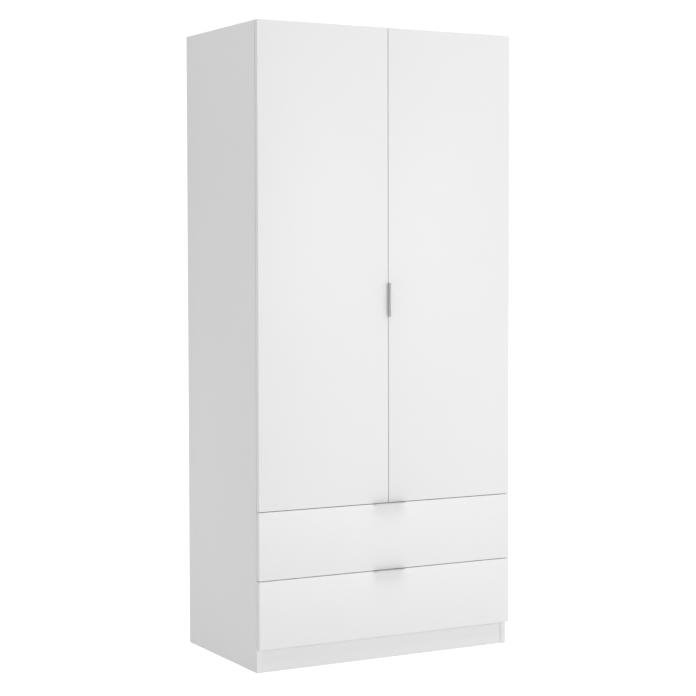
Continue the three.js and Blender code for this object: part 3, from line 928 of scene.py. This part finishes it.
def rail_socket(node, side):
    """Moulded cup for the rail's end, with a taller foot screwed to the side panel."""
    low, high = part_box(node)
    rail_low, rail_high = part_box("hanging_rail")
    centre, size = middle("hanging_rail"), high - low
    wall, mouth = (low.x, high.x) if side == LEFT else (high.x, low.x)
    foot_x = wall - side * SOCKET["foot"]
    socket = oval_bar(f"{node}_moulding", size, wall, mouth, centre)
    foot_size = size + Vector((0, 0, 2 * SOCKET["foot_reach"]))
    combine(socket, "UNION", oval_bar("foot", foot_size, wall, foot_x, centre))
    hollow_size = rail_high - rail_low + Vector([2 * PLAY] * 3)
    floor_x = wall - side * SOCKET["floor"]
    cut(socket, oval_bar("hollow", hollow_size, floor_x, mouth - side * MM, centre))
    soften(socket, 0.5 * MM, 3, 50)
    wear(socket, PLASTIC)
    screw_up = size.z / 2 + SOCKET["screw"]
    spots = [(foot_x, centre.y, centre.z + way * screw_up) for way in (-1, 1)]
    join(socket, *[placed_copy(FLUSH_SCREW, "head", spot, (-side, 0, 0)) for spot in spots])
    finish_piece(socket, BODY_OF[node], "white_plastic", node)


def rail_sockets():
    for name, side in SIDES.items():
        rail_socket(f"{name}_rail_socket", side)


# ------------------------------------------------------------------ runners and rollers

RUNNER = {"sheet": 1.2 * MM, "screw_drop": 4.2 * MM, "screw_shares": (0.09, 0.48, 0.86)}
ROLLER = {"half": 3 * MM, "radius": 8.4 * MM, "bore": 2.3 * MM, "tyre": 1.9 * MM, "dish": 0.9 * MM,
          "web": 2.2 * MM, "hub": 0.7 * MM}


def roller():
    """Moulded roller at the origin, its axis along X, with a dished web and a hub."""
    half = ROLLER["half"]
    wheel = add_rod("roller", ROLLER["radius"], (-half, 0, 0), (half, 0, 0), 48)
    for way in (-1, 1):
        edit_faces(wheel, lambda centre, normal: normal.x * way > 0.9)
        inset(ROLLER["tyre"])
        extrude((-way * ROLLER["dish"], 0, 0))
        inset(ROLLER["web"])
        extrude((way * ROLLER["hub"], 0, 0))
        close_edit()
    soften(wheel, 0.35 * MM, 2, 50)
    cut(wheel, add_rod("bore", ROLLER["bore"], (-half - MM, 0, 0), (half + MM, 0, 0), 32))
    wear(wheel, NYLON)
    return wheel


def runner_screws(node, side):
    """Three screws through a cabinet runner's upper web into the side panel."""
    low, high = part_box(node)
    face_x = side * (SIDE_INNER - RUNNER["sheet"])
    spots = [(face_x, low.y + share * (high.y - low.y), high.z - RUNNER["screw_drop"])
             for share in RUNNER["screw_shares"]]
    scatter(PLATE_SCREW, f"{node}_screws", BODY_OF[node], "runner_steel", spots, (-side, 0, 0))


def runners():
    """Rollers in place of their CAD nodes, and a coat and screws for the runners."""
    wheel = roller()
    for drawer in DRAWERS:
        for name, side in SIDES.items():
            for end in ("front", "rear"):
                node = f"{drawer}_{name}_{end}_roller"
                piece = copied(wheel, f"{node}_wheel")
                piece.location = middle(node)
                finish_piece(piece, BODY_OF[node], "roller_nylon", node)
            fixed, moving = f"{drawer}_{name}_cabinet_runner", f"{drawer}_{name}_drawer_runner"
            for node in (fixed, moving):
                wear(frame["nodes"][node], EPOXY)
            runner_screws(fixed, side)
    bpy.data.objects.remove(wheel)


# ------------------------------------------------------------------ caps, bumpers, locks and nails

CAP_PLACE = {"in": 34 * MM, "front": 50 * MM, "back": 70 * MM}
LOCK_BACK = 34 * MM
DOOR_BUMPER = {"in": 28 * MM, "low": 3.4 * MM, "high": 8 * MM}
DRAWER_BUMPER = {"out": 8 * MM, "edge": 30 * MM}
NAIL_PLACE = {"first": 35 * MM, "pitch": 90 * MM, "count": 4}


def cam_covers():
    """Four caps under each fixed panel, near its corners."""
    for node in ("top_panel", "hat_shelf", "middle_panel"):
        low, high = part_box(node)
        spots = [(side * (SIDE_INNER - CAP_PLACE["in"]), y, low.z) for side in SIDES.values()
                 for y in (low.y + CAP_PLACE["front"], high.y - CAP_PLACE["back"])]
        scatter(CAP, f"{node}_cam_covers", "carcass", "white_plastic", spots, (0, 0, -1))


def door_bumpers():
    for name, side in SIDES.items():
        low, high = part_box(f"{name}_door_panel")
        spots = [(side * DOOR_BUMPER["in"], DOOR_BACK_Y, z)
                 for z in (low.z + DOOR_BUMPER["low"], high.z - DOOR_BUMPER["high"])]
        scatter(BUMPER, f"{name}_door_bumpers", f"{name}_door", "white_plastic", spots, (0, 1, 0))


def drawer_bumpers(drawer):
    low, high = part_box(f"{drawer}_drawer_front")
    spots = [(side * (SIDE_INNER + DRAWER_BUMPER["out"]), DOOR_BACK_Y, z) for side in SIDES.values()
             for z in (low.z + DRAWER_BUMPER["edge"], high.z - DRAWER_BUMPER["edge"])]
    scatter(BUMPER, f"{drawer}_drawer_bumpers", f"{drawer}_drawer", "white_plastic", spots, (0, 1, 0))


def drawer_cam_locks(drawer):
    """The locks that hold the drawer front, on the inner faces of the two sides."""
    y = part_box(f"{drawer}_drawer_front")[0].y + BOARD + LOCK_BACK
    locks = []
    for name, side in SIDES.items():
        node = f"{drawer}_drawer_{name}_side"
        inner_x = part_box(node)[1 if side == LEFT else 0].x
        spot = (inner_x, y, middle(node).z)
        locks.append(placed_copy(CAM_LOCK, f"{drawer}_drawer_cam_locks", spot, (-side, 0, 0)))
    finish_piece(join(*locks), f"{drawer}_drawer", "hinge_steel")


def back_nails():
    """Rows of nails through the back sheets into the panels behind them."""
    sheet_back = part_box("left_back_sheet")[1].y
    levels = [middle(node).z for node in ("bottom_panel", "middle_panel", "hat_shelf")]
    spots = [(side * (NAIL_PLACE["first"] + step * NAIL_PLACE["pitch"]), sheet_back, z)
             for side in SIDES.values() for step in range(NAIL_PLACE["count"]) for z in levels]
    scatter(NAIL, "back_nails", "carcass", "hinge_steel", spots, (0, 1, 0))


def small_fittings():
    cam_covers()
    door_bumpers()
    for drawer in DRAWERS:
        drawer_bumpers(drawer)
        drawer_cam_locks(drawer)
    back_nails()
    wear(frame["nodes"]["back_joining_strip"], PLASTIC)


# ------------------------------------------------------------------ floor, light and camera

FLOOR_SIDE = 60
FLOOR_GLOW = {"seen": 0.82, "thrown": 0.65}
WORLD_LIGHT = {"seen": 1.05, "thrown": 0.37}
OVERHEAD = {"power": 2.5, "angle": 70}
KEY = {"power": 68.5, "size": 1.8, "place": Vector((1.45, -4.5, 1.4)), "aim": Vector((0, -0.24, 0.9))}
FILL = {"power": 3.6, "size": 1.6, "place": Vector((-2.6, 0.3, 2.3)), "aim": Vector((-0.4, 0, 1.2))}
CAMERA = {
    "place": (-2.528, -4.894, 1.170),
    "heading": 30.36,
    "tilt": -2.384,
    "lens": 96.15,
    "shift": (-0.1437, -0.0287),
}


def pale_floor():
    """White studio floor that glows, so that shadows on it stay faint. It throws less than it shows."""
    m = Material("pale_floor", (0.25, 0.25, 0.25), 0.85, **{"Emission Color": (1, 1, 1, 1)})
    fine = m.group(GRAIN, Grain_Scale=60.0, Drift_Scale=0.6)
    m.feed(Base_Color=m.mix(m.spread(fine["Drift"], 0, 1), m.color, shade(m.color, 0.995)))
    m.feed(Roughness=m.spread(fine["Grain"], 0.8, 0.9))
    seen = put(m.tree, "ShaderNodeLightPath").outputs["Is Camera Ray"]
    m.feed(Emission_Strength=m.spread(seen, FLOOR_GLOW["thrown"], FLOOR_GLOW["seen"], 0, 1))
    return m.material


def studio_floor():
    deselect_all()
    bpy.ops.mesh.primitive_plane_add(size=FLOOR_SIDE, location=(0, 0, 0))
    floor = fresh("studio_floor")
    wear(floor, pale_floor())


def studio_world():
    """A white surround that shows brighter than the light it throws."""
    world = bpy.data.worlds.new("studio_world")
    bpy.context.scene.world = world
    world.use_nodes = True
    tree = world.node_tree
    tree.nodes.clear()
    seen, thrown = (put(tree, "ShaderNodeBackground", {
        "Color": (1, 1, 1, 1), "Strength": WORLD_LIGHT[kind]}) for kind in ("seen", "thrown"))
    path = put(tree, "ShaderNodeLightPath")
    chosen = put(tree, "ShaderNodeMixShader", {
        0: path.outputs["Is Camera Ray"], 1: thrown.outputs[0], 2: seen.outputs[0]})
    put(tree, "ShaderNodeOutputWorld", {"Surface": chosen.outputs[0]})


def add_lamp(name, kind, power):
    lamp = bpy.data.objects.new(name, bpy.data.lights.new(name, kind))
    lamp.data.energy = power
    bpy.context.scene.collection.objects.link(lamp)
    return lamp


def studio_lights():
    """A wide soft light from overhead, and two square panels aimed at the wardrobe."""
    overhead = add_lamp("overhead_light", "SUN", OVERHEAD["power"])
    overhead.data.angle = math.radians(OVERHEAD["angle"])
    for name, light in (("key_light", KEY), ("fill_light", FILL)):
        lamp = add_lamp(name, "AREA", light["power"])
        lamp.data.size = light["size"]
        lamp.location = light["place"]
        lamp.rotation_euler = (light["place"] - light["aim"]).to_track_quat("Z", "Y").to_euler()
        lamp.visible_camera = False


def studio_camera():
    lens = bpy.data.cameras.new("camera")
    lens.lens, lens.sensor_width = CAMERA["lens"], 36
    lens.shift_x, lens.shift_y = CAMERA["shift"]
    heading, tilt = math.radians(CAMERA["heading"]), math.radians(CAMERA["tilt"])
    level = math.cos(tilt)
    ahead = Vector((math.sin(heading) * level, math.cos(heading) * level, math.sin(tilt)))
    camera = bpy.data.objects.new("camera", lens)
    camera.location = CAMERA["place"]
    camera.rotation_mode = "QUATERNION"
    camera.rotation_quaternion = ahead.to_track_quat("-Z", "Y")
    bpy.context.scene.collection.objects.link(camera)
    bpy.context.scene.camera = camera
    bpy.context.scene.view_settings.view_transform = "Standard"


# ------------------------------------------------------------------ build

carcass_boards()
door_boards()
drawer_boards()
sheets()
drawer_handles()
door_handles()
hinges()
hanging_rail()
rail_sockets()
runners()
small_fittings()
for pattern in PATTERNS:
    bpy.data.objects.remove(pattern)
studio_floor()
studio_world()
studio_lights()
studio_camera()
